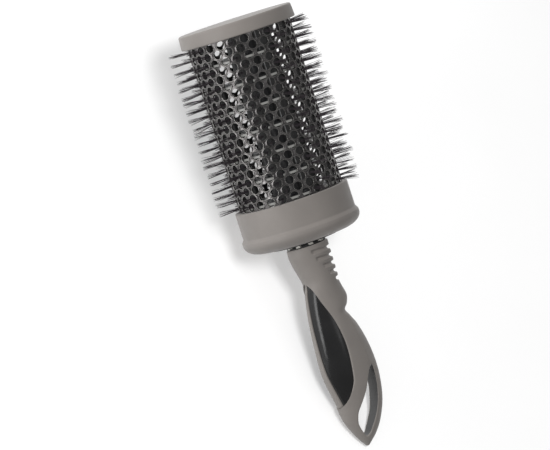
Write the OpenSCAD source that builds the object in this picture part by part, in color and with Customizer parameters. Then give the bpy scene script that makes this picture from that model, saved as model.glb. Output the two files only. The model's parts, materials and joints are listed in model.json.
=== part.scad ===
// Round barrel brush: a perforated thermal barrel that swivels on a soft-grip handle.
// Every piece is drawn about the brush's own axis, where +Z runs from the end cap to the
// handle's tip, +X is the finger side of the handle and +Y is its front. lay_down() then
// lays the whole brush on the table, with +Z up and the handle pointing to +X.

/* [Barrel] */
// Outer radius of the perforated tube
tube_r = 30; // [29.5:0.1:30.5]
// Wall of the perforated tube
tube_wall = 0.8; // [0.6:0.1:0.8]
// Diameter of each air hole
hole_d = 4.8; // [4:0.1:5]
// Distance between rows of air holes along the barrel
row_pitch = 4.55; // [4.5:0.01:4.6]
// Number of rows of air holes
rows = 21; // [21]
// Number of bristle strips round the barrel
strips = 9; // [9]
// Radius to the tips of the bristles
bristle_r = 42.3; // [41:0.1:43]

/* [End cap] */
// Outer radius of the end cap
cap_r = 33.2; // [32.5:0.1:34]
// Height of the end cap
cap_h = 8; // [7.8:0.1:8]

/* [Collar] */
// Where the collar begins, measured from the end cap's face
collar_z = 104; // [104]
// Radius of the collar's straight part
collar_r = 32.8; // [32.4:0.1:33.2]
// Radius of the bumper lip
lip_r = 34.2; // [33.8:0.1:34.4]
// Where the underside of the lip is, measured from the end cap's face
lip_z = 128.8; // [128.8]

/* [Handle] */
// Where the rubber sleeve of the neck begins
neck_z = 132.4; // [132.4]
// Where the handle's tip is
tip_z = 250.6; // [249:0.1:252]
// Thickness of the rubber over the handle's core
skin = 1.2; // [1:0.1:1.4]
// Number of finger ribs' grooves on the neck
grooves = 5; // [3:1:5]

/* [Swivel] */
// Diameter of the steel stem that the barrel turns on
stem_d = 8; // [8]
// Radial running clearance of the stem in its bush
stem_play = 0.05; // [0.03:0.01:0.08]

/* [Rest on the table] */
// How far the handle's front leans to the finger side when the brush lies still
rest_roll = 11; // [11]

/* [Hidden] */

$fn = 96;
eps = 0.01;

holes_per_row = 3 * strips;
hole_step = 360 / holes_per_row;
strip_step = 360 / strips;
first_row_z = 10.4;
last_row_z = first_row_z + (rows - 1) * row_pitch;
tube_in = tube_r - tube_wall;
tube_start = 2.8;
tube_end = 112;

// Angles are taken from the handle's front (+Y) towards the finger side (+X)
first_strip = rest_roll;

strip_in = 24.3;
strip_out = 27.6;
strip_w = 5;
tuft_root_r = 0.6;
tuft_tip_r = 1.2;
disc_r = tube_in - 0.6;
disc_t = 1.2;
disc_drop = 1.1;
rows_per_disc = 3;
carrier_r = 9;
carrier_wall = 1.5;

hub_r = 31;
hub_post_r = 12.9;
hub_mouth_r = 20;
hub_rim_z = 129.8;
hub_face = 129.4;
shoulder_z = tube_end + 0.1;
floor_z = lip_z - 1.8;
click_r = 12.5;
click_gap = 0.4;
flange_z = 128;
stem_r = stem_d / 2;
bush_r = 6.5;
bush_start = 108.1;
bush_flange_r = 8;
stem_start = 106.8;
stem_end = 168;
pin_z = 150;
pin_r = 1.25;
pin_half = 8;
screw_r = 1.6;
screw_depth = 12;
washer_z = 105.7;
boss_r = 9;
boss_z = 130.52;
crown_base = 131.8;
nubs = strips;
nub_tip = 130.2;

// The handle's outline, as [distance from the end cap's face, half size] at each turn in it
finger_side = [[132.4, 12.4], [153, 12.1], [157, 11.7], [160, 12.3], [166, 13.5], [170.5, 11.8],
               [173.3, 9.2], [177, 11], [183, 14], [194, 16.9], [206, 18.2], [216, 17.8],
               [228, 15.4], [238, 10.9], [245, 5.7], [250.6, -0.8]];
spine_side = [[132.4, 11.8], [138, 12], [148, 9.8], [153.5, 8.7], [160, 10.7], [170, 12.7],
              [183, 14.3], [204, 15.6], [213, 14.7], [219, 13.6], [225, 12.5], [230, 12],
              [235, 10.9], [244.4, 6.6], [250.6, 2.6]];
half_thick = [[132.4, 11.6], [150, 10.4], [160, 10.2], [188, 11.2], [206, 10.8], [222, 9.2],
              [236, 6.6], [246, 3.8], [250.6, 1.3]];
// The edge of the rubber ribbon beside the core's window, as [x, z]
ribbon_edge = [[-9.5, 151.5], [-6.2, 164], [-2.2, 176], [-0.2, 187], [0, 197], [-1.7, 211],
               [-3.3, 215], [-6.4, 220], [-9, 222.9], [-11.3, 224.8], [-14, 227]];
// Half width of the rubber spine between the two windows, as [z, half width]
spine_band = [[151, 0.4], [158, 1], [168, 1.5], [186, 2.1], [203, 3], [213, 3.7], [226, 3.8]];
// The hanging slot's outline, as [x, z]
slot_outline = [[12.2, 207.2], [9.6, 209.7], [6.8, 214.5], [4.2, 219.3], [1.6, 223], [-1.5, 226.9],
                [-3.7, 230], [-4.8, 233.2], [-5.2, 236.6], [-4.6, 239.4], [-3.4, 242.6],
                [-2, 244.9], [0.6, 243.5], [3, 240.5], [5.2, 237.6], [7.9, 233.4], [9.9, 229],
                [11.4, 224.4], [12.6, 219.6], [13.1, 214.9], [13.3, 210.5], [13, 207.9]];

// The tail, from here to the tip, bends away from the finger side by tail_bend
tail_z = 238;
tail_bend = 1.8;
loft_step = 3;
loft_sides = 36;
core_gap = 0.04;
core_tip_z = tip_z - 2.6;
groove_z = 137.3;
groove_pitch = 4.55;

// The brush lies on the last bristles at each side of the lowest gap between two strips,
// and on the underside of the handle's tip. These say how steeply and how high that is.
cap_edge = 1.6;
tuft_lean = strip_step / 2 - hole_step / 4;
tuft_drop = bristle_r * cos(tuft_lean) + tuft_tip_r * sin(tuft_lean);
rest_slope = atan(min([for (z = [tail_z:tip_z]) (tuft_drop - handle_drop(z)) / (z - last_row_z)]));
rim_drop = tuft_tip_r * norm([sin(rest_slope), cos(rest_slope) * sin(tuft_lean)]);
rest_height = bristle_r * cos(tuft_lean) * cos(rest_slope) + last_row_z * sin(rest_slope) + rim_drop;
low_x = cap_edge * (cos(rest_slope) - 1) - (cap_r - cap_edge) * sin(rest_slope);
high_x = tip_z * cos(rest_slope)
    + (2 * value_at(half_thick, tip_z) - handle_drop(tip_z)) * sin(rest_slope);
rest_shift = (low_x + high_x) / 2;

// Height of a smooth curve through points of the form [place, value]
function span_of(points, at, i = 0) =
    i >= len(points) - 2 || at < points[i + 1][0] ? i : span_of(points, at, i + 1);
function slope_at(points, i) =
    let (a = max(i - 1, 0), b = min(i + 1, len(points) - 1))
    (points[b][1] - points[a][1]) / (points[b][0] - points[a][0]);
function value_at(points, at) =
    let (i = span_of(points, at))
    let (w = points[i + 1][0] - points[i][0])
    let (f = min(max((at - points[i][0]) / w, 0), 1))
    let (m0 = slope_at(points, i) * w, m1 = slope_at(points, i + 1) * w)
    (2 * pow(f, 3) - 3 * f * f + 1) * points[i][1] + (pow(f, 3) - 2 * f * f + f) * m0
    + (3 * f * f - 2 * pow(f, 3)) * points[i + 1][1] + (pow(f, 3) - f * f) * m1;

// A smooth closed or open curve through points in a plane, with steps points between each pair
function wrap(points, i) = points[min(max(i, 0), len(points) - 1)];
function smooth_between(points, i, f) =
    let (p = wrap(points, i - 1), q = wrap(points, i), r = wrap(points, i + 1), s = wrap(points, i + 2))
    0.5 * (2 * q + (r - p) * f + (2 * p - 5 * q + 4 * r - s) * f * f
    + (3 * q - p - 3 * r + s) * pow(f, 3));
function smooth_curve(points, steps) =
    [for (i = [0:len(points) - 2], j = [0:steps - 1]) smooth_between(points, i, j / steps)];

// How far below the axis the handle reaches, when it lies rolled on the table
function handle_drop(z) =
    let (across = (value_at(spine_side, z) + middle_x(z)) * sin(rest_roll))
    let (down = value_at(half_thick, z) * cos(rest_roll))
    sqrt(across * across + down * down) - middle_x(z) * sin(rest_roll);

// Middle of the handle's section, between its finger side and its spine
function middle_x(z) = -tail_bend * pow(max(z - tail_z, 0) / (tip_z - tail_z), 2);

// One ring of the handle, drawn in by inset from the outside
thinnest = 0.3;
function ring_point(z, angle, inset) =
    let (side = cos(angle) > 0 ? value_at(finger_side, z) - middle_x(z)
                               : value_at(spine_side, z) + middle_x(z))
    [middle_x(z) + max(side - inset, thinnest) * cos(angle),
     max(value_at(half_thick, z) - inset, thinnest) * sin(angle), z];

module handle_loft(inset, start, end) {
    levels = [for (z = [start:loft_step:end - 0.5]) z, end];
    count = len(levels) - 1;
    points = [for (z = levels, j = [0:loft_sides - 1]) ring_point(z, 360 * j / loft_sides, inset)];
    sides = [for (i = [0:count - 1], j = [0:loft_sides - 1])
        let (k = (j + 1) % loft_sides)
        each [[i * loft_sides + j, (i + 1) * loft_sides + j, (i + 1) * loft_sides + k],
              [i * loft_sides + j, (i + 1) * loft_sides + k, i * loft_sides + k]]];
    bottom = [[for (j = [0:loft_sides - 1]) j]];
    top = [[for (j = [loft_sides - 1:-1:0]) count * loft_sides + j]];
    polyhedron(points, concat(sides, bottom, top), convexity = 8);
}

// Lays the brush down, from its own axis to the table
module lay_down() {
    translate([-rest_shift, 0, rest_height])
        rotate([0, rest_slope, 0])
            rotate([90, 0, 90])
                rotate([0, 0, rest_roll])
                    children();
}

// Children at each of count places round the axis
module around(count, start = 0) {
    for (k = [0:count - 1])
        rotate([0, 0, -start - k * 360 / count])
            children();
}

module ring(outer, inner, from, to) {
    translate([0, 0, from])
        difference() {
            cylinder(r = outer, h = to - from);
            translate([0, 0, -eps])
                cylinder(r = inner, h = to - from + 2 * eps);
        }
}

// Everything between the two faces of the handle that an outline in X and Z covers
module through_handle(outline) {
    rotate([90, 0, 0])
        linear_extrude(height = 40, center = true)
            polygon(outline);
}

module end_cap() {
    skirt_in = tube_r + 0.05;
    lid = 2.4;
    chamfer = 0.5;
    color([0.45, 0.42, 0.40])
        lay_down()
            rotate_extrude()
                polygon(concat(
                    [[0, 0]],
                    [for (a = [-90:15:0])
                        [cap_r - cap_edge + cap_edge * cos(a), cap_edge + cap_edge * sin(a)]],
                    [[cap_r, cap_h - chamfer], [cap_r - chamfer, cap_h], [skirt_in, cap_h],
                     [skirt_in, lid], [0, lid]]
                ));
}

// A cup that centres the tube on its rim and the carrier in its socket
module end_plug() {
    plug_r = tube_in - 0.05;
    socket_r = carrier_r + 0.02;
    wall = 2;
    face = 2.5;
    rim = 8.2;
    color([0.08, 0.08, 0.08])
        lay_down()
            rotate_extrude()
                polygon([[0, face], [plug_r, face], [plug_r, rim], [plug_r - wall, rim],
                         [plug_r - wall, face + wall], [carrier_r + wall, face + wall],
                         [carrier_r + wall, rim], [socket_r, rim], [socket_r, 2 * face], [0, 2 * face]]);
}

module air_holes() {
    for (i = [0:rows - 1])
        translate([0, 0, first_row_z + i * row_pitch])
            around(holes_per_row, first_strip + hole_step * (i % 2 - 0.5) / 2)
                translate([0, tube_in - 1, 0])
                    rotate([-90, 0, 0])
                        cylinder(d = hole_d, h = tube_wall + 2, $fn = 32);
}

module barrel_tube() {
    color([0.17, 0.17, 0.18])
        lay_down()
            difference() {
                ring(tube_r, tube_in, tube_start, tube_end);
                air_holes();
            }
}

// A spool of discs, notched for the strips and pierced so that air can pass along the barrel
module bristle_carrier() {
    start = 5.05;
    end = 103.9;
    vent_r = 17;
    vent_d = 7;
    play = 0.2;
    disc_places = [for (i = [2:rows_per_disc:rows - 1]) first_row_z + i * row_pitch + disc_drop];
    color([0.72, 0.73, 0.74])
        lay_down()
            difference() {
                union() {
                    ring(carrier_r, carrier_r - carrier_wall, start, end);
                    for (z = disc_places)
                        ring(disc_r, carrier_r - carrier_wall, z - disc_t / 2, z + disc_t / 2);
                }
                around(strips, first_strip)
                    translate([-strip_w / 2 - play, strip_in - play / 2, 0])
                        cube([strip_w + 2 * play, disc_r, end]);
                around(strips, first_strip + strip_step / 2)
                    translate([0, vent_r, first_row_z])
                        cylinder(d = vent_d, h = end);
            }
}

// A strip with one bundle of bristles for each row of holes, to the left and right in turn
module bristle_strip(k) {
    start = 8.8;
    end = 103.8;
    color([0.06, 0.06, 0.06])
        lay_down()
            rotate([0, 0, -first_strip - (k - 1) * strip_step]) {
                translate([-strip_w / 2, strip_in, start])
                    cube([strip_w, strip_out - strip_in, end - start]);
                for (i = [0:rows - 1])
                    rotate([0, 0, -hole_step * (i % 2 - 0.5) / 2])
                        translate([0, strip_in + 1, first_row_z + i * row_pitch])
                            rotate([-90, 0, 0])
                                cylinder(r1 = tuft_root_r, r2 = tuft_tip_r, h = bristle_r - strip_in - 1,
                                         $fn = 24);
            }
}

module collar_sleeve() {
    round_out = 9;
    round_up = 6.4;
    chamfer = 0.6;
    step_z = lip_z - 10.2;
    in = tube_r + 0.05;
    over_hub = hub_r + 0.02;
    color([0.45, 0.42, 0.40])
        lay_down()
            rotate_extrude()
                polygon(concat(
                    [[hub_mouth_r + 0.1, floor_z], [over_hub, floor_z], [over_hub, shoulder_z],
                     [in, shoulder_z], [in, collar_z]],
                    [[collar_r - chamfer, collar_z], [collar_r, collar_z + chamfer], [collar_r, step_z],
                     [collar_r + 0.3, step_z + 1.2], [lip_r - 0.25, step_z + 2.6]],
                    [for (a = [0:15:90])
                        [lip_r - round_out * (1 - cos(a)), lip_z - round_up * (1 - sin(a))]],
                    [[hub_mouth_r + 0.1, lip_z]]
                ));
}

// Carries the tube outside and the bush inside. It is hollow towards the barrel, with ribs.
module collar_hub() {
    pocket_r = 10.5;
    pocket_z = 104.2;
    in_tube = tube_in - 0.05;
    shell = 2.1;
    rib_w = 1.8;
    hollow_r = in_tube - shell;
    hollow_z = floor_z - shell;
    flange_seat = bush_flange_r + 0.02;
    color([0.08, 0.08, 0.08])
        lay_down() {
            rotate_extrude()
                polygon([[bush_r, bush_start], [pocket_r, bush_start], [pocket_r, pocket_z],
                         [hub_post_r, pocket_z], [hub_post_r, hollow_z], [hollow_r, hollow_z],
                         [hollow_r, pocket_z], [in_tube, pocket_z], [in_tube, shoulder_z],
                         [hub_r, shoulder_z], [hub_r, floor_z - 0.02], [hub_mouth_r, floor_z - 0.02],
                         [hub_mouth_r, hub_rim_z], [click_r + 0.05, hub_rim_z],
                         [click_r + 0.05, flange_z + click_gap], [flange_seat, flange_z + click_gap],
                         [flange_seat, flange_z], [bush_r, flange_z]]);
            around(6)
                translate([-rib_w / 2, hub_post_r - 1, pocket_z + shell])
                    cube([rib_w, hollow_r - hub_post_r + 2, hollow_z - pocket_z - shell + 1]);
        }
}

// A ring in the hub's underside, with one shallow pocket for each nub of the crown
module click_ring() {
    inner = bush_flange_r + 0.05;
    pocket_r = 1;
    color([0.06, 0.06, 0.06])
        lay_down()
            difference() {
                ring(click_r, inner, flange_z + click_gap + 0.02, hub_face);
                around(nubs, first_strip + strip_step / 2)
                    translate([0, inner - 1, hub_face + 0.6])
                        rotate([-90, 0, 0])
                            cylinder(r = pocket_r, h = click_r, $fn = 32);
            }
}

module hub_bush() {
    bore = stem_r + stem_play;
    seat = flange_z + 0.02;
    color([0.75, 0.62, 0.35])
        lay_down()
            rotate_extrude()
                polygon([[bore, bush_start], [bush_r, bush_start], [bush_r, seat],
                         [bush_flange_r, seat], [bush_flange_r, hub_face], [bore, hub_face]]);
}

// The cylinder that the cross pin fills, through the stem and the core
module cross_hole() {
    translate([0, -pin_half, pin_z])
        rotate([-90, 0, 0])
            cylinder(r = pin_r, h = 2 * pin_half);
}

module swivel_stem() {
    color([0.7, 0.7, 0.72])
        lay_down()
            difference() {
                translate([0, 0, stem_start])
                    cylinder(r = stem_r, h = stem_end - stem_start);
                translate([0, 0, stem_start - eps])
                    cylinder(r = screw_r, h = screw_depth);
                cross_hole();
            }
}

module stem_pin() {
    color([0.7, 0.7, 0.72])
        lay_down()
            cross_hole();
}

// A cone-shaped spring washer that presses the click ring onto the crown
module spring_washer() {
    low_r = stem_r + 0.2;
    high_r = 7.8;
    sheet = 0.5;
    low_z = stem_start + 0.06;
    top_z = bush_start - 0.06;
    color([0.7, 0.7, 0.72])
        lay_down()
            rotate_extrude()
                polygon([[low_r, low_z], [low_r, low_z + sheet], [high_r, top_z], [high_r, top_z - sheet]]);
}

module end_washer() {
    color([0.7, 0.7, 0.72])
        lay_down()
            ring(9, screw_r + 0.5, washer_z, stem_start);
}

module end_screw() {
    head_r = 3.6;
    bevel = 0.8;
    head_z = 103.4;
    slot_w = 0.9;
    slot_l = 4.4;
    color([0.55, 0.55, 0.57])
        lay_down()
            difference() {
                union() {
                    translate([0, 0, head_z])
                        cylinder(r1 = head_r - bevel, r2 = head_r, h = bevel);
                    translate([0, 0, head_z + bevel])
                        cylinder(r = head_r, h = washer_z - head_z - bevel);
                    translate([0, 0, washer_z])
                        cylinder(r = screw_r, h = screw_depth - 2);
                }
                for (a = [0, 90])
                    rotate([0, 0, a])
                        translate([-slot_l / 2, -slot_w / 2, head_z - eps])
                            cube([slot_l, slot_w, 1.4]);
            }
}

module thrust_washer() {
    color([0.85, 0.85, 0.8])
        lay_down()
            ring(bush_flange_r, stem_r + 0.02, hub_face + 0.05, boss_z - 0.02);
}

// The ring of nubs on top of the neck
module crown_ring() {
    inner = boss_r + 0.02;
    outer = 11.3;
    nub_r = 1.25;
    color([0.5, 0.47, 0.45])
        lay_down()
            union() {
                ring(outer, inner, crown_base, neck_z);
                around(nubs, first_strip + strip_step / 2)
                    intersection() {
                        translate([0, inner + 0.6, nub_tip + nub_r])
                            rotate([-90, 0, 0])
                                cylinder(r = nub_r, h = outer - inner - 0.8, $fn = 32);
                        translate([-nub_r, 0, nub_tip])
                            cube([2 * nub_r, outer, crown_base - nub_tip + eps]);
                    }
            }
}

// The glossy core, which shows in the two windows and in the walls of the hanging slot
module core_body() {
    resize([0, 0, 0])
        difference() {
            handle_loft(skin, neck_z, core_tip_z);
            through_handle(smooth_curve(slot_outline, 3));
        }
}

module handle_core() {
    color([0.03, 0.03, 0.03])
        lay_down()
            difference() {
                union() {
                    core_body();
                    ring(boss_r, stem_r, boss_z, neck_z + 3);
                }
                translate([0, 0, neck_z - 2])
                    cylinder(r = stem_r, h = stem_end - neck_z + 2.5);
                cross_hole();
            }
}

// What is cut from the rubber to show the core, on the front and on the back
module windows() {
    edge = smooth_curve(ribbon_edge, 4);
    far = 30;
    start = spine_band[0][0];
    end = ribbon_edge[len(ribbon_edge) - 1][1];
    spine = [for (z = [start - 1:4:end + 1]) [value_at(spine_band, z), z]];
    for (side = [1, -1])
        intersection() {
            through_handle(concat([[-far, edge[0][1]]], edge, [[-far, end]]));
            rotate([0, 90, 0])
                rotate([0, 0, 90])
                    linear_extrude(height = 2 * far, center = true)
                        polygon([
                            for (p = spine) [side * p[0], p[1]],
                            [side * far, end + 2],
                            [side * far, start - 1]
                        ]);
        }
}

// A rounded groove on the finger side of the neck, which fades out towards the spine
module rib_groove(i) {
    bite = 1.1;
    neck_r = 11.5;
    lean = 2 - 0.22 * i;
    translate([-lean, 0, groove_z + i * groove_pitch])
        rotate_extrude($fn = 48)
            translate([neck_r + lean, 0])
                circle(r = bite, $fn = 12);
}

module grip_overmould() {
    color([0.45, 0.42, 0.40])
        lay_down()
            resize([0, 0, 0])
                difference() {
                    handle_loft(0, neck_z, tip_z);
                    handle_loft(skin - core_gap, neck_z - loft_step, core_tip_z + core_gap);
                    through_handle(smooth_curve(slot_outline, 3));
                    windows();
                    for (i = [0:grooves - 1])
                        rib_groove(i);
                }
}

end_cap();
end_plug();
barrel_tube();
bristle_carrier();
for (k = [1:strips])
    bristle_strip(k);
collar_sleeve();
collar_hub();
click_ring();
hub_bush();
swivel_stem();
stem_pin();
spring_washer();
end_washer();
end_screw();
thrust_washer();
crown_ring();
handle_core();
grip_overmould();
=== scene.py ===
"""The looks of the round barrel brush. Lengths are in millimetres along the brush's own axes,
from the cap's face, and to_row() takes them to the table's frame in metres."""
import json
import math
import random

import bmesh
import bpy
import numpy as np
from mathutils import Matrix, Vector


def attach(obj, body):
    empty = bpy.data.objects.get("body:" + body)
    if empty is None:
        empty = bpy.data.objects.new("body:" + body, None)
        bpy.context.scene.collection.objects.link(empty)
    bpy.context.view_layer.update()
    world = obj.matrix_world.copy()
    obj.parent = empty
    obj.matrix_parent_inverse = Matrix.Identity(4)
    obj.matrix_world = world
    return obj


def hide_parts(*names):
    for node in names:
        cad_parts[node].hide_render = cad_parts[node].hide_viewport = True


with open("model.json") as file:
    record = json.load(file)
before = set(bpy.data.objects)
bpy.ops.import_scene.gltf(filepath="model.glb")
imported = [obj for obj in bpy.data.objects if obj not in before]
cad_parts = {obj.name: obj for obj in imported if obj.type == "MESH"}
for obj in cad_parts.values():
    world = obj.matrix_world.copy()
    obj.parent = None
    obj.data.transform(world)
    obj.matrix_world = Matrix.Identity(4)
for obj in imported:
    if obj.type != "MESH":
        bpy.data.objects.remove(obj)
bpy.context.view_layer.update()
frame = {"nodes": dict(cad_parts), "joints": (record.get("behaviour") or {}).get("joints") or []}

# ---------------------------------------------------------------- the brush's own axes

MM = 0.001
swivel = frame["joints"][0]
CAP_FACE = np.array(swivel["pos_m"])
AXIS = np.array(swivel["axis"])
# The brush lies rolled by this much about its own axis
ROLL = math.radians(11)
SIDE = np.array([0.0, 1.0, 0.0])
RISE = np.cross(AXIS, SIDE)
FINGER = math.cos(ROLL) * SIDE + math.sin(ROLL) * RISE
FRONT = -math.sin(ROLL) * SIDE + math.cos(ROLL) * RISE


def to_row(points):
    """Points as [finger, front, along] in mm become points in the row's frame in metres."""
    p = np.atleast_2d(np.asarray(points, float))
    return CAP_FACE + MM * (p[:, :1] * FINGER + p[:, 1:2] * FRONT + p[:, 2:3] * AXIS)


def above_table(points):
    """to_row, with whatever would reach below the table laid on it."""
    row = to_row(points)
    row[:, 2] = np.maximum(row[:, 2], 0)
    return row


# ---------------------------------------------------------------- meshes

def make_piece(name, points, faces, body, material, nodes):
    """A smooth-shaded mesh from points in mm, which rides on a body and replaces CAD nodes."""
    mesh = bpy.data.meshes.new(name)
    mesh.from_pydata(above_table(points).tolist(), [], faces)
    mesh.validate()
    piece = bpy.data.objects.new(name, mesh)
    bpy.context.scene.collection.objects.link(piece)
    smooth(piece)
    mesh.materials.append(material)
    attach(piece, body)
    if nodes:
        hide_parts(*nodes)
    return piece


def smooth(piece):
    """Shades every face smoothly."""
    faces = piece.data.polygons
    faces.foreach_set("use_smooth", [True] * len(faces))


def sharpen(piece, degrees):
    """Keeps a crease wherever two faces meet at more than this angle."""
    piece.data.set_sharp_from_angle(angle=math.radians(degrees))


def weld(piece, distance=2e-6):
    """Joins points within this many metres of each other, and turns all faces outwards."""
    bm = bmesh.new()
    bm.from_mesh(piece.data)
    bmesh.ops.remove_doubles(bm, verts=bm.verts, dist=distance)
    bmesh.ops.recalc_face_normals(bm, faces=bm.faces)
    bm.to_mesh(piece.data)
    bm.free()


def cut(piece, cutter):
    """Cuts the cutter's space from the piece, smooths the result and removes the cutter."""
    change = piece.modifiers.new("cut", "BOOLEAN")
    change.object = cutter
    change.operation = "DIFFERENCE"
    change.solver = "EXACT"
    bpy.context.view_layer.update()
    shown = bpy.context.evaluated_depsgraph_get()
    result = bpy.data.meshes.new_from_object(piece.evaluated_get(shown))
    piece.modifiers.clear()
    piece.data = result
    bpy.data.objects.remove(cutter)
    smooth(piece)


def grid_faces(rows, columns, closed=False, first=0):
    """Faces of a grid of points that is stored row by row."""
    faces = []
    for i in range(rows - 1):
        for j in range(columns if closed else columns - 1):
            k = (j + 1) % columns
            a, b = first + i * columns, first + (i + 1) * columns
            faces.append((a + j, a + k, b + k, b + j))
    return faces


def rounded(corners, steps=7):
    """A closed outline through [radius, along, fillet] corners, with each fillet as a curve."""
    outline = []
    count = len(corners)
    for i, (x, y, fillet) in enumerate(corners):
        here = np.array([x, y], float)
        if fillet <= 0:
            outline.append(here)
            continue
        into = here - np.array(corners[i - 1][:2], float)
        out = np.array(corners[(i + 1) % count][:2], float) - here
        into /= np.linalg.norm(into)
        out /= np.linalg.norm(out)
        turn = math.acos(max(-1.0, min(1.0, float(into @ out))))
        reach = fillet * math.tan(turn / 2)
        start, end = here - into * reach, here + out * reach
        for k in range(steps + 1):
            t = k / steps
            curve = (1 - t) ** 2 * start + 2 * t * (1 - t) * here + t * t * end
            outline.append(curve)
    return outline


def lathe(name, corners, body, material, nodes, sides=192):
    """A turned piece. Corners on the axis have a radius of 0."""
    outline = rounded(corners)
    angles = np.arange(sides) * 2 * math.pi / sides
    points = []
    for r, z in outline:
        points.append(np.stack([r * np.sin(angles), r * np.cos(angles), np.full(sides, z)], 1))
    points = np.concatenate(points)
    faces = grid_faces(len(outline), sides, closed=True)
    last = (len(outline) - 1) * sides
    for j in range(sides):
        k = (j + 1) % sides
        faces.append((last + j, last + k, k, j))
    piece = make_piece(name, points, faces, body, material, nodes)
    weld(piece)
    sharpen(piece, 40)


# ---------------------------------------------------------------- smooth outlines

def value_at(table, at):
    """Value of a smooth curve through points of the form [place, value]."""
    x, y = np.array(table, float).T
    at = np.asarray(at, float)
    low = np.maximum(np.arange(len(x)) - 1, 0)
    high = np.minimum(np.arange(len(x)) + 1, len(x) - 1)
    slope = (y[high] - y[low]) / (x[high] - x[low])
    i = np.clip(np.searchsorted(x, at, side="right") - 1, 0, len(x) - 2)
    w = x[i + 1] - x[i]
    f = np.clip((at - x[i]) / w, 0, 1)
    return ((2 * f ** 3 - 3 * f ** 2 + 1) * y[i] + (f ** 3 - 2 * f ** 2 + f) * slope[i] * w
            + (3 * f ** 2 - 2 * f ** 3) * y[i + 1] + (f ** 3 - f ** 2) * slope[i + 1] * w)


def smooth_closed(points, steps):
    """A smooth closed outline through points in a plane."""
    p = np.array(points, float)
    count = len(p)
    out = []
    for i in range(count):
        a, b, c, d = p[i - 1], p[i], p[(i + 1) % count], p[(i + 2) % count]
        for j in range(steps):
            f = j / steps
            out.append(0.5 * (2 * b + (c - a) * f + (2 * a - 5 * b + 4 * c - d) * f ** 2
                              + (3 * b - a - 3 * c + d) * f ** 3))
    return np.array(out)


def step(low, high, x):
    """Rises smoothly from 0 at low to 1 at high."""
    t = np.clip((np.asarray(x, float) - low) / (high - low), 0, 1)
    return t * t * (3 - 2 * t)


# ---------------------------------------------------------------- materials

def shader(name, colour, roughness, metallic=0.0, sheen=0.0, specular=0.5):
    """A material with its main shader set, and its node tree, shader and place nodes."""
    material = bpy.data.materials.new(name)
    material.use_nodes = True
    tree = material.node_tree
    main = tree.nodes["Principled BSDF"]
    main.inputs["Base Color"].default_value = (*colour, 1)
    main.inputs["Roughness"].default_value = roughness
    main.inputs["Metallic"].default_value = metallic
    main.inputs["Sheen Weight"].default_value = sheen
    main.inputs["Specular IOR Level"].default_value = specular
    place = tree.nodes.new("ShaderNodeTexCoord")
    return material, tree, main, place


def noise(tree, place, scale, detail=4.0, stretch=None):
    """A noise texture over the object's own space, stretched along the axes if asked."""
    texture = tree.nodes.new("ShaderNodeTexNoise")
    texture.inputs["Scale"].default_value = scale
    texture.inputs["Detail"].default_value = detail
    source = place.outputs["Object"]
    if stretch:
        turn = tree.nodes.new("ShaderNodeMapping")
        turn.inputs["Scale"].default_value = stretch
        tree.links.new(source, turn.inputs["Vector"])
        source = turn.outputs["Vector"]
    tree.links.new(source, texture.inputs["Vector"])
    return texture.outputs["Fac"]


def spread(tree, source, low, high, source_low=0.3, source_high=0.7):
    """Takes a texture's values to a range."""
    remap = tree.nodes.new("ShaderNodeMapRange")
    remap.inputs["From Min"].default_value = source_low
    remap.inputs["From Max"].default_value = source_high
    remap.inputs["To Min"].default_value = low
    remap.inputs["To Max"].default_value = high
    tree.links.new(source, remap.inputs["Value"])
    return remap.outputs["Result"]


def cloudy(tree, main, place, colour, scale, detail, dark, light):
    """Uneven colour, between two multiples of one shade."""
    fac = spread(tree, noise(tree, place, scale, detail), 0.0, 1.0)
    tint(tree, main, fac, scaled(colour, dark), scaled(colour, light))


def uneven_gloss(tree, main, texture, low, high):
    """Roughness that follows a texture between two values."""
    tree.links.new(spread(tree, texture, low, high), main.inputs["Roughness"])


def tint(tree, main, source, dark, light):
    """Colours the surface between two shades by a value from 0 to 1."""
    ramp = tree.nodes.new("ShaderNodeValToRGB")
    ramp.color_ramp.elements[0].color = (*dark, 1)
    ramp.color_ramp.elements[1].color = (*light, 1)
    tree.links.new(source, ramp.inputs["Fac"])
    tree.links.new(ramp.outputs["Color"], main.inputs["Base Color"])


def bumps(tree, main, source, strength, distance=0.001):
    """Small relief on the surface, of this many metres at full strength."""
    relief = tree.nodes.new("ShaderNodeBump")
    relief.inputs["Strength"].default_value = strength
    relief.inputs["Distance"].default_value = distance
    tree.links.new(source, relief.inputs["Height"])
    tree.links.new(relief.outputs["Normal"], main.inputs["Normal"])


def scaled(colour, factor):
    """A colour made darker or lighter."""
    return tuple(min(1.0, c * factor) for c in colour)


def soft_rubber():
    """Warm grey soft-touch rubber: a fine grain, a faint sheen and slightly uneven colour."""
    colour = (0.165, 0.151, 0.140)
    material, tree, main, place = shader("soft_rubber", colour, 0.55, sheen=0.12, specular=0.42)
    main.inputs["Sheen Roughness"].default_value = 0.45
    cloudy(tree, main, place, colour, scale=38, detail=5, dark=0.93, light=1.07)
    uneven_gloss(tree, main, noise(tree, place, scale=160, detail=3), low=0.48, high=0.62)
    bumps(tree, main, noise(tree, place, scale=2600, detail=2), strength=0.10, distance=0.0002)
    return material


def coated_metal(name, colour):
    """Gunmetal coating, shiny, with fine lines round the barrel and small marks."""
    material, tree, main, place = shader(name, colour, 0.24, metallic=1.0, specular=0.6)
    cloudy(tree, main, place, colour, scale=300, detail=5, dark=0.75, light=1.25)
    lines = noise(tree, place, scale=900, detail=4, stretch=(4.0, 0.5, 0.5))
    uneven_gloss(tree, main, lines, low=0.17, high=0.34)
    bumps(tree, main, noise(tree, place, scale=1400, detail=3), strength=0.12, distance=0.0002)
    return material


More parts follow.
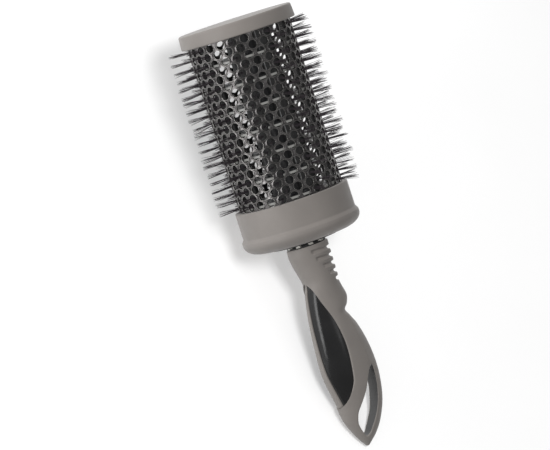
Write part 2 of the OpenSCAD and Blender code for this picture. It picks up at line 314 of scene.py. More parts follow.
def nylon():
    """Black nylon filaments, slightly glossy and faintly streaked."""
    colour = (0.021, 0.0175, 0.020)
    material, tree, main, place = shader("nylon", colour, 0.36, specular=0.25)
    cloudy(tree, main, place, colour, scale=700, detail=3, dark=0.6, light=1.8)
    uneven_gloss(tree, main, noise(tree, place, scale=1200, detail=2), low=0.28, high=0.46)
    return material


def gloss_black():
    """Polished black plastic with a few faint ripples and hairline marks."""
    colour = (0.0095, 0.0095, 0.0098)
    material, tree, main, place = shader("gloss_black", colour, 0.18, specular=0.34)
    cloudy(tree, main, place, colour, scale=60, detail=4, dark=0.8, light=1.25)
    hairlines = noise(tree, place, scale=500, detail=5, stretch=(0.4, 3.0, 3.0))
    uneven_gloss(tree, main, hairlines, low=0.11, high=0.22)
    bumps(tree, main, noise(tree, place, scale=90, detail=2), strength=0.05, distance=0.0006)
    return material


def moulded(name, colour, roughness, specular=0.5):
    """Plain moulded plastic with a fine grain."""
    material, tree, main, place = shader(name, colour, roughness, specular=specular)
    cloudy(tree, main, place, colour, scale=120, detail=4, dark=0.9, light=1.1)
    grain = noise(tree, place, scale=400, detail=3)
    uneven_gloss(tree, main, grain, low=roughness - 0.07, high=roughness + 0.07)
    bumps(tree, main, noise(tree, place, scale=1800, detail=2), strength=0.15, distance=0.0002)
    return material


def turned_metal(name, colour, roughness):
    """Bare metal with fine turning marks."""
    material, tree, main, place = shader(name, colour, roughness, metallic=1.0)
    cloudy(tree, main, place, colour, scale=500, detail=4, dark=0.85, light=1.1)
    marks = noise(tree, place, scale=1500, detail=3, stretch=(5.0, 0.4, 0.4))
    uneven_gloss(tree, main, marks, low=roughness - 0.08, high=roughness + 0.1)
    bumps(tree, main, marks, strength=0.08, distance=0.0001)
    return material


RUBBER = soft_rubber()
METAL = coated_metal("dark_metal", (0.105, 0.100, 0.100))
# Paler metal for the holes' rolled rims: a painted highlight.
RIM_HIGHLIGHT_METAL = coated_metal("rim_highlight_metal", (0.34, 0.33, 0.315))
NYLON = nylon()
BLACK = gloss_black()
BLACK_PLASTIC = moulded("black_plastic", (0.018, 0.018, 0.018), 0.5, specular=0.2)
PALE_NUB = moulded("pale_nub", (0.27, 0.26, 0.24), 0.35)
ACETAL = moulded("acetal", (0.75, 0.74, 0.70), 0.4)
BRONZE = turned_metal("bronze", (0.50, 0.33, 0.14), 0.38)
STEEL = turned_metal("steel", (0.56, 0.56, 0.58), 0.3)


def vector_node(tree, operation, source, constant=None):
    """A vector calculation on a linked value, with a constant as its second value."""
    node = tree.nodes.new("ShaderNodeVectorMath")
    node.operation = operation
    if constant is not None:
        node.inputs[1].default_value = constant
    tree.links.new(source, node.inputs[0])
    return node


def carrier_plastic(node):
    """Plastic, near black inside and pale at the discs' outer rims, by the distance from the
    barrel's axis.
    """
    dark, pale = (0.012, 0.012, 0.013), (0.20, 0.20, 0.19)
    rim_start, rim_full = 26.2 * MM, 27.2 * MM
    material, tree, main, place = shader("carrier_plastic", dark, 0.34)
    home = node.matrix_world.inverted()
    from_cap = vector_node(tree, "SUBTRACT", place.outputs["Object"], home @ Vector(CAP_FACE))
    across = vector_node(tree, "CROSS_PRODUCT", from_cap.outputs["Vector"],
                         home.to_3x3() @ Vector(AXIS))
    radius = vector_node(tree, "LENGTH", across.outputs["Vector"])
    rim = spread(tree, radius.outputs["Value"], 0, 1, source_low=rim_start, source_high=rim_full)
    tint(tree, main, rim, dark, pale)
    uneven_gloss(tree, main, noise(tree, place, scale=400, detail=3), low=0.22, high=0.40)
    return material


KEPT = {
    "end_plug": BLACK_PLASTIC, "collar_hub": BLACK_PLASTIC,
    "bristle_carrier": carrier_plastic(frame["nodes"]["bristle_carrier"]),
    "click_ring": BLACK_PLASTIC, "hub_bush": BRONZE, "swivel_stem": STEEL, "stem_pin": STEEL,
    "spring_washer": STEEL, "end_washer": STEEL, "end_screw": STEEL, "thrust_washer": ACETAL,
}
for node, material in KEPT.items():
    slots = frame["nodes"][node].data.materials
    for i in range(len(slots)):
        slots[i] = material

# ---------------------------------------------------------------- barrel

TUBE_R = 30.0
TUBE_WALL = 0.8
TUBE_START, TUBE_END = 2.8, 112.0
HOLE_R = 2.4
ROWS = 21
ROW_PITCH = 4.55
FIRST_ROW = 10.4
STRIPS = 9
HOLES = 3 * STRIPS
HOLE_STEP = 2 * math.pi / HOLES
STRIP_STEP = 2 * math.pi / STRIPS
STRIP_IN, STRIP_OUT, STRIP_W = 24.3, 27.6, 5.0
STRIP_START, STRIP_END = 8.8, 103.8
BRISTLE_R = 42.2
UP = np.array([0, 0, 1.0])


def row_lean(row):
    """How far a row's holes are turned from the strips' middles, left and right in turn."""
    return HOLE_STEP * (row % 2 - 0.5) / 2


def row_turn(row):
    """How far a row's first hole is turned from the front."""
    return ROLL + row_lean(row)


def row_place(row):
    """Where a row of holes is along the barrel."""
    return FIRST_ROW + row * ROW_PITCH


def on_barrel(turn, z, radius):
    """Points on a circle round the axis, at turns from the front."""
    return np.stack([radius * np.sin(turn), radius * np.cos(turn), z + 0 * turn], -1)


def out_and_round(turn):
    """The directions out of the barrel and round it, at a turn from the front."""
    out = np.array([math.sin(turn), math.cos(turn), 0])
    return out, np.array([math.cos(turn), -math.sin(turn), 0])


def cell_outline():
    """Half-way line between a hole and its six neighbours, in mm on the unrolled tube."""
    half = HOLE_STEP * TUBE_R / 2
    corner = (ROW_PITCH ** 2 - half ** 2) / (2 * ROW_PITCH)
    peak = (ROW_PITCH ** 2 + half ** 2) / (2 * ROW_PITCH)
    corners = [(half, -corner), (half, corner), (0, peak), (-half, corner),
               (-half, -corner), (0, -peak)]
    splits = [2, 5, 5, 2, 5, 5]
    points = []
    for i, count in enumerate(splits):
        a, b = np.array(corners[i]), np.array(corners[(i + 1) % 6])
        points += [a + (b - a) * k / count for k in range(count)]
    return np.array(points), peak


def rim_rings(outline):
    """A hole's cell as rings of [flat points, height]: its outline, a rolled rim and the wall."""
    flare, crest, lip = 0.34, 0.2, 0.07
    foot_h, crest_h, lip_h, mouth_h = 0.03, 0.13, 0.12, 0.02
    reach = np.linalg.norm(outline, axis=1)
    way = outline / reach[:, None]
    foot = HOLE_R + np.minimum(flare, 0.7 * (reach - HOLE_R))
    profile = [(foot, foot_h), (HOLE_R + crest, crest_h), (HOLE_R + lip, lip_h),
               (HOLE_R, mouth_h), (HOLE_R, -TUBE_WALL)]
    rings = [(outline, 0.0)]
    for radius, height in profile:
        radii = np.reshape(radius * np.ones(len(outline)), (-1, 1))
        rings.append((way * radii, height))
    rings.append((outline, -TUBE_WALL))
    return rings


def end_band(row, sign, end, edge_line, peak, first):
    """The plain band between a first or last row of holes and the tube's end."""
    z = row_place(row)
    level = z - sign * (peak + 0.5)
    points, faces = [], []
    for hole in range(HOLES):
        turn = row_turn(row) + hole * HOLE_STEP + edge_line[:, 0] / TUBE_R
        edge = z + sign * edge_line[:, 1]
        lines = [(edge, TUBE_R), (level, TUBE_R), (end, TUBE_R),
                 (end, TUBE_R - TUBE_WALL), (level, TUBE_R - TUBE_WALL), (edge, TUBE_R - TUBE_WALL)]
        faces += grid_faces(len(lines), len(edge_line), first=first + len(points))
        for line, radius in lines:
            points += list(on_barrel(turn, line, radius))
    return points, faces


def barrel_tube():
    """The perforated tube. Each hole has a rolled rim that stands slightly proud, and the rim's
    crest is coloured paler metal as a painted highlight."""
    outline, peak = cell_outline()
    sides = len(outline)
    rings = rim_rings(outline)
    # The rims' crest and lip faces get the paler metal, as a painted highlight.
    highlight_from, highlight_to = 2, 4
    points, faces, highlight_faces = [], [], []
    for row in range(ROWS):
        z = row_place(row)
        for hole in range(HOLES):
            highlight_faces += range(len(faces) + highlight_from * sides, len(faces) + highlight_to * sides)
            first = len(points) * sides
            turn = row_turn(row) + hole * HOLE_STEP
            for flat, height in rings:
                points.append(on_barrel(turn + flat[:, 0] / TUBE_R, z + flat[:, 1], TUBE_R + height))
            faces += grid_faces(len(rings), sides, closed=True, first=first)
    points = list(np.concatenate(points))
    lower_part = 2.68
    edge_line = np.array([p for p in outline if p[1] <= lower_part - peak])
    edge_line = edge_line[np.argsort(edge_line[:, 0])]
    for row, sign, end in ((0, 1, TUBE_START), (ROWS - 1, -1, TUBE_END)):
        band_points, band_faces = end_band(row, sign, end, edge_line, peak, len(points))
        points += band_points
        faces += band_faces
    piece = make_piece("barrel_mesh", np.array(points), faces, "barrel", METAL,
                       ["barrel_tube"])
    piece.data.materials.append(RIM_HIGHLIGHT_METAL)
    for i in highlight_faces:
        piece.data.polygons[i].material_index = 1
    weld(piece)
    sharpen(piece, 60)


def filament(chance, root, tip, bend, radius):
    """A tapering nylon filament with a slight bend, as rings of points."""
    rings, sides = 6, 5
    taper, rounded_tip = 0.35, 0.55
    root, tip, bend = map(np.array, (root, tip, bend))
    along = (tip - root) / np.linalg.norm(tip - root)
    across = np.cross(along, UP)
    across /= np.linalg.norm(across)
    third = np.cross(along, across)
    turn = chance.uniform(0, 2 * math.pi)
    points = []
    for i in range(rings):
        f = i / (rings - 1)
        centre = root + (tip - root) * f + bend * f * f
        r = radius * (1 - taper * f) * (rounded_tip if i == rings - 1 else 1)
        for j in range(sides):
            a = turn + 2 * math.pi * j / sides
            points.append(centre + r * (math.cos(a) * across + math.sin(a) * third))
    faces = grid_faces(rings, sides, closed=True)
    faces.append(tuple(range(sides))[::-1])
    faces.append(tuple(range((rings - 1) * sides, rings * sides)))
    return points, faces


def tuft(chance, turn, z):
    """A ragged bundle of filaments out of a hole, each as points and faces."""
    root_r, root_depth, shortest = 0.55, 0.6, 35.5
    radial, round_way = out_and_round(turn)
    lean_side, lean_up = chance.gauss(0, 0.5), chance.gauss(0, 0.55)
    longest = BRISTLE_R + chance.uniform(-0.9, 0.0)
    fullness = chance.randint(11, 16)
    splay = chance.uniform(0.9, 1.7)
    filaments = []
    for _ in range(fullness):
        a, off_centre = chance.uniform(0, 2 * math.pi), math.sqrt(chance.random())
        at_side, at_up = math.cos(a) * off_centre, math.sin(a) * off_centre
        root = radial * (STRIP_OUT - root_depth) + round_way * at_side * root_r
        root = root + UP * (z + at_up * root_r)
        length = max(longest - chance.expovariate(1.0), shortest)
        tip_side = lean_side + at_side * splay + chance.gauss(0, 0.22)
        tip_up = lean_up + at_up * splay + chance.gauss(0, 0.28)
        bend = round_way * chance.gauss(0, 0.3) + UP * chance.gauss(0, 0.35)
        tip = radial * length + round_way * tip_side + UP * (z + tip_up)
        reach = math.hypot(*(tip + bend)[:2])
        if reach > BRISTLE_R:
            tip = tip - radial * (reach - BRISTLE_R)
        radius = chance.uniform(0.12, 0.17)
        filaments.append(filament(chance, root, tip, bend, radius))
    return filaments


def strip_base(turn):
    """The bar that holds a row of bundles."""
    inner_round, outer_round = 0.5, 0.9
    out, aside = out_and_round(turn)
    section = rounded([(-STRIP_W / 2, STRIP_IN, inner_round), (STRIP_W / 2, STRIP_IN, inner_round),
                       (STRIP_W / 2, STRIP_OUT, outer_round),
                       (-STRIP_W / 2, STRIP_OUT, outer_round)], steps=3)
    points = []
    for z in (STRIP_START, STRIP_END):
        points += [aside * x + out * r + UP * z for x, r in section]
    count = len(section)
    faces = grid_faces(2, count, closed=True)
    faces.append(tuple(range(count))[::-1])
    faces.append(tuple(range(count, 2 * count)))
    return points, faces


def bristle_strip(k, chance):
    """A strip under the tube, with one bundle of filaments through each row's hole."""
    turn = ROLL + (k - 1) * STRIP_STEP
    points, faces = strip_base(turn)
    base_faces = len(faces)
    for row in range(ROWS):
        for ring_points, ring_faces in tuft(chance, turn + row_lean(row), row_place(row)):
            first = len(points)
            points += ring_points
            faces += [tuple(first + v for v in face) for face in ring_faces]
    piece = make_piece(f"bristles_{k}", np.array(points), faces, "barrel", NYLON,
                       [f"bristle_strip_{k}"])
    sharpen(piece, 50)
    piece.data.materials.append(BLACK_PLASTIC)
    for face in piece.data.polygons[:base_faces]:
        face.material_index = 1


CAP_H, CAP_R, CAP_FLOOR = 8.0, 33.2, 2.4
RUBBER_IN = TUBE_R + 0.05
COLLAR_Z, COLLAR_R, LIP_R, LIP_Z = 104.0, 32.8, 34.2, 128.8
STEP_START, STEP_END = 119.0, 121.0
HUB_R, HUB_MOUTH_R, HUB_SHOULDER = 31.02, 20.1, TUBE_END + 0.1
LIP_FACE = LIP_Z - 1.8
ROUND_OUT, ROUND_UP = 9.0, 6.4


def lip_round(steps=14):
    """The lip's rounding, from its widest place to the underside."""
    turns = [math.pi / 2 * i / steps for i in range(steps + 1)]
    return [(LIP_R - ROUND_OUT * (1 - math.cos(a)), LIP_Z - ROUND_UP * (1 - math.sin(a)), 0)
            for a in turns]


lathe("cap_rubber", [(0, 0, 0), (CAP_R - 0.5, 0, 1.3), (CAP_R, CAP_H, 0.7),
                     (RUBBER_IN, CAP_H, 0), (RUBBER_IN, CAP_FLOOR, 0), (0, CAP_FLOOR, 0)],
      "barrel", RUBBER, ["end_cap"])
lathe("collar_rubber",
      [(HUB_MOUTH_R, LIP_Z, 0.3), (HUB_MOUTH_R, LIP_FACE, 0), (HUB_R, LIP_FACE, 0),
       (HUB_R, HUB_SHOULDER, 0), (RUBBER_IN, HUB_SHOULDER, 0), (RUBBER_IN, COLLAR_Z, 0),
       (COLLAR_R, COLLAR_Z, 0.6), (COLLAR_R, STEP_START, 1.2), (LIP_R - 0.12, STEP_END, 0.9)]
      + lip_round(),
      "barrel", RUBBER, ["collar_sleeve"])
barrel_tube()
chance = random.Random(7)
for k in range(1, STRIPS + 1):
    bristle_strip(k, chance)

# ---------------------------------------------------------------- handle

NECK_Z, TIP_Z = 132.4, 250.6
TAIL_Z, TAIL_BEND = 238.0, 1.8
# The handle's outline, as [distance from the end cap's face, size from the axis]
FINGER_SIDE = [(132.4, 12.4), (153, 12.1), (157, 11.7), (160, 12.3), (166, 13.5), (170.5, 11.8),
               (173.3, 9.2), (177, 11), (183, 14), (194, 16.9), (206, 18.2), (216, 17.8),
               (228, 15.4), (238, 10.9), (245, 5.7), (250.6, -0.8)]
SPINE_SIDE = [(132.4, 11.8), (138, 12), (148, 9.8), (153.5, 8.7), (160, 10.7), (170, 12.7),
              (183, 14.3), (204, 15.6), (213, 14.7), (219, 13.6), (225, 12.5), (230, 12),
              (235, 10.9), (244.4, 6.6), (250.6, 2.6)]
HALF_THICK = [(132.4, 11.6), (150, 10.4), (160, 10.2), (188, 11.2), (206, 10.8), (222, 9.2),
              (236, 6.6), (246, 3.8), (250.6, 1.3)]
RIBBON_EDGE = [(149.5, -9.45), (164, -6.2), (176, -2.2), (187, -0.2), (197, 0), (211, -1.7),
               (215, -3.3), (220, -6.4), (222.9, -9), (224.8, -11.3), (227, -14)]
SPINE_BAND = [(151, 0.4), (158, 1), (168, 1.5), (186, 2.1), (203, 3), (213, 3.7), (226, 3.8)]
SLOT_OUTLINE = [(12.2, 207.2), (9.6, 209.7), (6.8, 214.5), (4.2, 219.3), (1.6, 223), (-1.5, 226.9),
                (-3.7, 230), (-4.8, 233.2), (-5.2, 236.6), (-4.6, 239.4), (-3.4, 242.6),
                (-2, 244.9), (0.6, 243.5), (3, 240.5), (5.2, 237.6), (7.9, 233.4), (9.9, 229),
                (11.4, 224.4), (12.6, 219.6), (13.1, 214.9), (13.3, 210.5), (13, 207.9)]
SLOT = smooth_closed(SLOT_OUTLINE, 10)
CORE_INSET = 0.9
STRIP_INSET = 0.5
THINNEST = 0.25


def middle_x(z):
    """Where the section's middle is, which bends to the spine side at the tail."""
    return -TAIL_BEND * (np.maximum(z - TAIL_Z, 0) / (TIP_Z - TAIL_Z)) ** 2


def handle_point(z, angle, inset):
    """A point of the handle's section. Angle 0 is the finger side, and 180 degrees the spine."""
    z, angle, inset = np.broadcast_arrays(*(np.asarray(v, float) for v in (z, angle, inset)))
    mid = middle_x(z)
    side = np.where(np.cos(angle) > 0, value_at(FINGER_SIDE, z) - mid, value_at(SPINE_SIDE, z) + mid)
    x = mid + np.maximum(side - inset, THINNEST) * np.cos(angle)
    y = np.maximum(value_at(HALF_THICK, z) - inset, THINNEST) * np.sin(angle)
    return np.stack([x, y, z], -1)


def slot_distance(x, z):
    """Distance from the hanging slot's outline, below 0 inside it."""
    p = np.stack([x, z], -1)[..., None, :]
    a, b = SLOT, np.roll(SLOT, -1, 0)
    along = b - a
    t = np.clip(((p - a) * along).sum(-1) / (along ** 2).sum(-1), 0, 1)
    gap = np.linalg.norm(p - (a + along * t[..., None]), axis=-1).min(-1)
    crosses = (a[:, 1] > p[..., 1]) != (b[:, 1] > p[..., 1])
    rise = np.where(along[:, 1] == 0, 1e-9, along[:, 1])
    left = p[..., 0] < a[:, 0] + (p[..., 1] - a[:, 1]) * along[:, 0] / rise
    inside = (crosses & left).sum(-1) % 2 == 1
    return np.where(inside, -gap, gap)


def edge_drop(distance, radius):
    """How far a rounded edge has dropped, at a distance from where the face would end."""
    d = np.clip(radius - distance, 0, radius)
    return radius - np.sqrt(np.maximum(radius ** 2 - d ** 2, 0))


GROOVE_Z, GROOVE_PITCH = 137.3, 4.55
GROOVE_DEPTH, GROOVE_WIDTH, GROOVE_SKEW = 1.6, 1.05, 0.25
# How far each groove reaches from the finger side and the length of its faded end, in degrees
GROOVE_REACH, GROOVE_FADE = [107, 99, 84, 71, 50], 9
GROOVE_SLANT = 0.010
RIDGE = [(172, 7.6), (180, 8.3), (192, 9.6), (203, 10.9), (210, 11.8)]
RIDGE_HEIGHT, RIDGE_WIDTH, RIDGE_ROUND = 0.5, 2.2, 0.16


def relief(z, angle, x):
    """How far the rubber stands proud of the plain section: the neck's grooves go in, and a soft
    ridge runs from the notch to the slot."""
    turn = np.degrees(np.abs(angle))
    height = np.zeros(np.shape(z))
    for i, reach in enumerate(GROOVE_REACH):
        off = (z - GROOVE_Z - GROOVE_PITCH * i + GROOVE_SLANT * turn) / GROOVE_WIDTH
        depth = GROOVE_DEPTH * (1 - step(reach - GROOVE_FADE, reach, turn))
        height = height - depth * np.exp(-off ** 4) * (1 - GROOVE_SKEW * off)
    strength = step(170, 178, z) * (1 - step(203, 209, z))
    from_ridge = np.sqrt((x - value_at(RIDGE, z)) ** 2 + RIDGE_ROUND)
    return height + strength * RIDGE_HEIGHT * np.exp(-from_ridge / RIDGE_WIDTH)


def ribbon_angle(z):
    """Where the rubber ribbon's edge is, as an angle from the finger side."""
    mid = middle_x(z)
    edge = value_at(RIBBON_EDGE, z)
    side = np.where(edge > mid, value_at(FINGER_SIDE, z) - mid, value_at(SPINE_SIDE, z) + mid)
    inside = (z > RIBBON_EDGE[0][0]) & (z < RIBBON_EDGE[-1][0])
    return np.where(inside, np.arccos(np.clip((edge - mid) / side, -1, 1)), math.pi)


def core_inset(z, angle):
    """Depth of the core under the rubber: deeper where the neck's ribs need the room."""
    room = 1.3
    ribs = (1 - step(156, 163, z)) * step(-0.45, 0.2, np.cos(angle))
    return CORE_INSET + room * ribs


def levels(start, end, fine):
    """Places along the handle, closer together inside the fine stretches."""
    close, wide = 0.3, 0.6
    out = [start]
    while out[-1] < end:
        near = any(a <= out[-1] <= b for a, b in fine)
        out.append(out[-1] + (close if near else wide))
    out[-1] = end
    return np.array(out)


def slot_cutter():
    """The hanging slot's prism, longer than the handle is thick."""
    half = 30.0
    points = [(x, y, z) for y in (-half, half) for x, z in SLOT]
    count = len(SLOT)
    faces = grid_faces(2, count, closed=True)
    faces += [tuple(range(count))[::-1], tuple(range(count, 2 * count))]
    mesh = bpy.data.meshes.new("slot_tool")
    mesh.from_pydata(to_row(points).tolist(), [], faces)
    cutter = bpy.data.objects.new("slot_tool", mesh)
    bpy.context.scene.collection.objects.link(cutter)
    weld(cutter)
    return cutter


def grip_ribbon():
    """The rubber: neck sleeve, finger bump and the ribbon that sweeps round the windows."""
    half_count, slot_from, far, least_girth = 84, 200, 99.0, 2.0
    side_round, neck_round, slot_round = 0.45, 0.5, 0.7
    clearance, thinnest = 0.02, 0.12
    z = levels(NECK_Z, TIP_Z, [(132, 162), (168, 178), (221, 230)])
    s = np.linspace(-1, 1, 2 * half_count + 1)
    limit = ribbon_angle(z)
    open_row = limit < math.pi - 1e-6
    zz = np.repeat(z[:, None], len(s), 1)
    angle = s[None, :] * limit[:, None]
    flat = handle_point(zz, angle, 0)
    height = relief(zz, angle, flat[..., 0])
    girth = np.maximum(value_at(HALF_THICK, zz), least_girth)
    side_gap = np.where(open_row[:, None], (limit[:, None] - np.abs(angle)) * girth, far)
    near = zz > slot_from
    slot_gap = np.full(zz.shape, far)
    slot_gap[near] = slot_distance(flat[..., 0][near], zz[near])
    drop = edge_drop(side_gap, side_round) + edge_drop(zz - NECK_Z, neck_round)
    drop = drop + edge_drop(np.maximum(slot_gap, 0), slot_round)
    thick = core_inset(zz, angle) - clearance
    outer_inset = np.minimum(-height + drop, thick - thinnest)
    outer = handle_point(zz, angle, outer_inset)
    inner = handle_point(zz, angle, thick)
    rows, columns = zz.shape
    count = rows * columns
    points = np.concatenate([outer.reshape(-1, 3), inner.reshape(-1, 3)])
    faces = [f[::-1] for f in grid_faces(rows, columns)] + grid_faces(rows, columns, first=count)
    for j in range(columns - 1):
        faces.append((j, j + 1, count + j + 1, count + j))
        a = (rows - 1) * columns + j
        faces.append((a + 1, a, count + a, count + a + 1))
    for i in range(rows - 1):
        if open_row[i] or open_row[i + 1]:
            for j in (0, columns - 1):
                a, b = i * columns + j, (i + 1) * columns + j
                faces.append((a, b, count + b, count + a))
    piece = make_piece("grip_ribbon", points, faces, "handle", RUBBER,
                       ["grip_overmould"])
    weld(piece)
    cut(piece, slot_cutter())
    sharpen(piece, 50)


def spine_strip():
    """The narrow rubber strip between the two windows, which passes under the ribbon."""
    start, end, columns = 148.6, 229.0, 25
    side_play, edge_round, base_inset = 0.25, 0.4, 1.5
    seam_depth, seam_width = 0.4, 0.5
    z = levels(start, end, [(148, 158), (220, 229)])
    across = np.linspace(-1, 1, columns)
    band = value_at(SPINE_BAND, z) + side_play
    half = value_at(HALF_THICK, z)
    angle = math.pi - np.arcsin(np.clip(band[:, None] * across[None, :] / half[:, None], -1, 1))
    zz = np.repeat(z[:, None], columns, 1)
    gap = (1 - np.abs(across))[None, :] * band[:, None]
    to_ribbon = handle_point(zz, angle, 0)[..., 0] - value_at(RIBBON_EDGE, zz)
    seam = seam_depth * np.exp(-(to_ribbon / seam_width) ** 2) * step(215, 220, zz)
    top = handle_point(zz, angle, STRIP_INSET + edge_drop(gap, edge_round) + seam)
    base = handle_point(zz, angle, base_inset)
    rows = len(z)
    count = rows * columns
    points = np.concatenate([top.reshape(-1, 3), base.reshape(-1, 3)])
    faces = grid_faces(rows, columns) + [f[::-1] for f in grid_faces(rows, columns, first=count)]
    for i in range(rows - 1):
        for j in (0, columns - 1):
            a, b = i * columns + j, (i + 1) * columns + j
            faces.append((a, b, count + b, count + a))
    for j in range(columns - 1):
        for a in (j, (rows - 1) * columns + j):
            faces.append((a, a + 1, count + a + 1, count + a))
    piece = make_piece("spine_strip", points, faces, "handle", RUBBER, [])
    weld(piece)
    sharpen(piece, 50)


def core_turns(z, half):
    """Angles round the core at each level: close together beside the spine strip, where it is
    grooved, and even elsewhere."""
    offsets = np.array([0, 0.3, 0.6, 0.75, 0.85, 0.95, 1.05, 1.2, 1.5])
    steps_in, steps_out = 4, 64
    band = value_at(SPINE_BAND, z)[:, None]
    near = np.arcsin(np.clip((band + offsets[None, :]) / half[:, None], 0, 0.9))
    middle = near[:, :1] * np.linspace(0, 1, steps_in + 1)[None, :-1]
    far = near[:, -1:] + (math.pi - near[:, -1:]) * np.linspace(0, 1, steps_out + 1)[None, 1:]
    turns = np.concatenate([middle, near, far], 1)
    return math.pi - np.concatenate([turns, 2 * math.pi - turns[:, -2:0:-1]], 1)


def stem_seat(angle):
    """The stem's bore and the boss under the crown, as rings of points."""
    bore, boss, boss_z, bore_end = 4.02, 9.0, 130.52, 168.5
    rings = []
    for r, at in ((0, bore_end), (bore, bore_end), (bore, boss_z), (boss, boss_z), (boss, NECK_Z)):
        rings.append(np.stack([r * np.cos(angle), r * np.sin(angle), np.full(len(angle), at)], 1))
    return rings


def core():
    """The polished black core, with the stem's bore, a boss under the crown and the slot."""
    bed_depth, bed_from, bed_to = 0.45, 0.62, 0.9
    bead_height, bead_at, bead_width = 0.1, 1.0, 0.16
    last_ring, tip_z = TIP_Z - 1.0, TIP_Z - 0.8
    z = levels(NECK_Z, last_ring, [(150, 158)])
    turn = core_turns(z, value_at(HALF_THICK, z) - CORE_INSET)
    sides = turn.shape[1]
    zz = np.repeat(z[:, None], sides, 1)
    plain = handle_point(zz, turn, CORE_INSET)
    off_strip = np.abs(plain[..., 1]) - value_at(SPINE_BAND, zz)
    shown = (np.cos(turn) < 0) * step(154, 160, zz) * (1 - step(224, 227, zz))
    bed = bed_depth * (1 - step(bed_from, bed_to, off_strip))
    bead = bead_height * np.exp(-((off_strip - bead_at) / bead_width) ** 2)
    inset = core_inset(zz, turn) + shown * (bed - bead)
    surface = handle_point(zz, turn, inset).reshape(-1, 3)
    rings = stem_seat(turn[0])
    tip = np.tile([middle_x(np.array(tip_z)), 0, tip_z], (sides, 1))
    points = np.concatenate(rings + [surface, tip])
    faces = grid_faces(len(rings) + len(z) + 1, sides, closed=True)
    piece = make_piece("core_black", points, faces, "handle", BLACK,
                       ["handle_core"])
    weld(piece)
    cut(piece, slot_cutter())
    sharpen(piece, 40)


CROWN_R, CROWN_IN = 11.3, 9.02
NUB_TIP, CROWN_BASE = 130.2, 131.8


def crown_base():
    """The black ring that carries the crown of nubs."""
    top, outer = CROWN_BASE - 0.3, CROWN_R - 0.1
    lathe("crown_base", [(CROWN_IN, top, 0.1), (CROWN_IN, NECK_Z, 0), (outer, NECK_Z, 0),
                         (outer, top, 0.2)],
          "handle", BLACK_PLASTIC, ["crown_ring"], sides=96)


def crown_nubs():
    """Nine pale nubs like short rounded teeth, which click into the ring under the collar."""
    half, inner, steps = 1.3, 9.4, 8
    face_inset, face_shrink = 0.15, 0.86
    arc = [math.pi * i / steps for i in range(steps + 1)]
    section = [(half * math.cos(a), NUB_TIP + half * (1 - math.sin(a))) for a in arc]
    section = [(half, CROWN_BASE)] + section + [(-half, CROWN_BASE)]
    count = len(section)
    points, faces = [], []
    for k in range(STRIPS):
        out, aside = out_and_round(ROLL + (k + 0.5) * STRIP_STEP)
        first = len(points)
        for r, shrink in ((inner, 1.0), (CROWN_R - face_inset, 1.0), (CROWN_R, face_shrink)):
            for x, z in section:
                tall = CROWN_BASE + (z - CROWN_BASE) * shrink
                points.append(out * r + aside * x * shrink + UP * tall)
        faces += grid_faces(3, count, closed=True, first=first)
        faces.append(tuple(first + i for i in range(count))[::-1])
        faces.append(tuple(first + 2 * count + i for i in range(count)))
    piece = make_piece("crown_nubs", np.array(points), faces, "handle", PALE_NUB, [])
    weld(piece)
    sharpen(piece, 35)


crown_base()
crown_nubs()
grip_ribbon()
spine_strip()
core()

# ---------------------------------------------------------------- floor, light and camera

VIEW_TURN = math.radians(24)
TOWARD = math.cos(VIEW_TURN) * FRONT - math.sin(VIEW_TURN) * FINGER
RIGHT = math.cos(VIEW_TURN) * FINGER + math.sin(VIEW_TURN) * FRONT
MIDDLE = np.array([0.0, 0.0, 0.04])


def floor():
    """A pale table top, far larger than the view."""
    half, under_brush = 3.0, 0.0002
    mesh = bpy.data.meshes.new("table_top")
    mesh.from_pydata([(-half, -half, 0), (half, -half, 0), (half, half, 0), (-half, half, 0)], [],
                     [(0, 1, 2, 3)])
    top = bpy.data.objects.new("table_top", mesh)
    bpy.context.scene.collection.objects.link(top)
    material, tree, main, place = shader("table_white", (0.9, 0.9, 0.9), 0.8, specular=0.2)
    tint(tree, main, spread(tree, noise(tree, place, 6, 3), 0, 1), (0.93, 0.93, 0.93),
         (0.96, 0.96, 0.96))
    mesh.materials.append(material)
    top.location.z = -under_brush


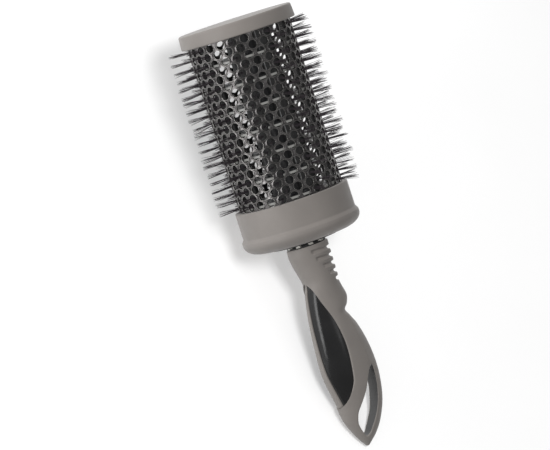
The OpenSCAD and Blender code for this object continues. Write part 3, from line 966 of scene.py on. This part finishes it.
def softbox(name, way, distance, size, radiance, shiny=True, shadow=True):
    """A soft light that faces the brush. The way to it is given as parts of towards the camera,
    the picture's right along the barrel's width, and towards the cap. Its first size is the one
    along the barrel."""
    towards, right, cap = way
    heading = TOWARD * towards + RIGHT * right - AXIS * cap
    heading = heading / np.linalg.norm(heading)
    data = bpy.data.lights.new(name, "AREA")
    data.shape = "RECTANGLE"
    data.size, data.size_y = size
    data.energy = radiance * math.pi * size[0] * size[1]
    lamp = bpy.data.objects.new(name, data)
    lamp.location = Vector(MIDDLE + heading * distance)
    lamp.rotation_euler = Vector(-heading).to_track_quat("-Z", "Y").to_euler()
    lamp.visible_glossy = shiny
    data.use_shadow = shadow
    bpy.context.scene.collection.objects.link(lamp)


def camera():
    """Looks at the brush's front from its spine side, with the cap at the upper left."""
    distance, aside, past_cap = 2.0238, 0.0278, 0.0615
    aim_aside, aim_along = -0.01331, 0.11627
    tilt = math.radians(-17.88)
    place = CAP_FACE + TOWARD * distance + RIGHT * aside - AXIS * past_cap
    aim = CAP_FACE + RIGHT * aim_aside + AXIS * aim_along
    back = Vector(place - aim).normalized()
    up = Vector(-AXIS)
    up = (up - back * up.dot(back)).normalized()
    up = Matrix.Rotation(tilt, 3, back) @ up
    right = up.cross(back)
    data = bpy.data.cameras.new("camera")
    data.sensor_width = 36
    data.lens = 237.6
    data.clip_end = 20
    view = bpy.data.objects.new("camera", data)
    turn = Matrix((right, up, back)).transposed().to_4x4()
    view.matrix_world = Matrix.Translation(place) @ turn
    bpy.context.scene.collection.objects.link(view)
    bpy.context.scene.camera = view


def surroundings(strength):
    """Even white light from all round."""
    world = bpy.data.worlds.new("studio")
    world.use_nodes = True
    background = world.node_tree.nodes["Background"]
    background.inputs["Color"].default_value = (1, 1, 1, 1)
    background.inputs["Strength"].default_value = strength
    bpy.context.scene.world = world


floor()
camera()
softbox("key", (0.92, 0.36, 0.16), distance=1.9, size=(0.5, 0.5), radiance=19.0, shiny=False)
softbox("top", (0.45, -0.20, 0.86), distance=1.9, size=(0.6, 0.6), radiance=21.0, shiny=False,
        shadow=False)
softbox("left", (0.60, -0.68, 0.28), distance=1.3, size=(1.1, 0.36), radiance=5.8, shadow=False)
softbox("streak", (0.90, 0.42, 0.0), distance=1.6, size=(0.9, 0.16), radiance=1.4)
surroundings(0.36)
bpy.context.scene.view_settings.view_transform = "Standard"


def corners(box):
    """A box's two corners as plain lists."""
    return [list(map(float, corner)) for corner in box]
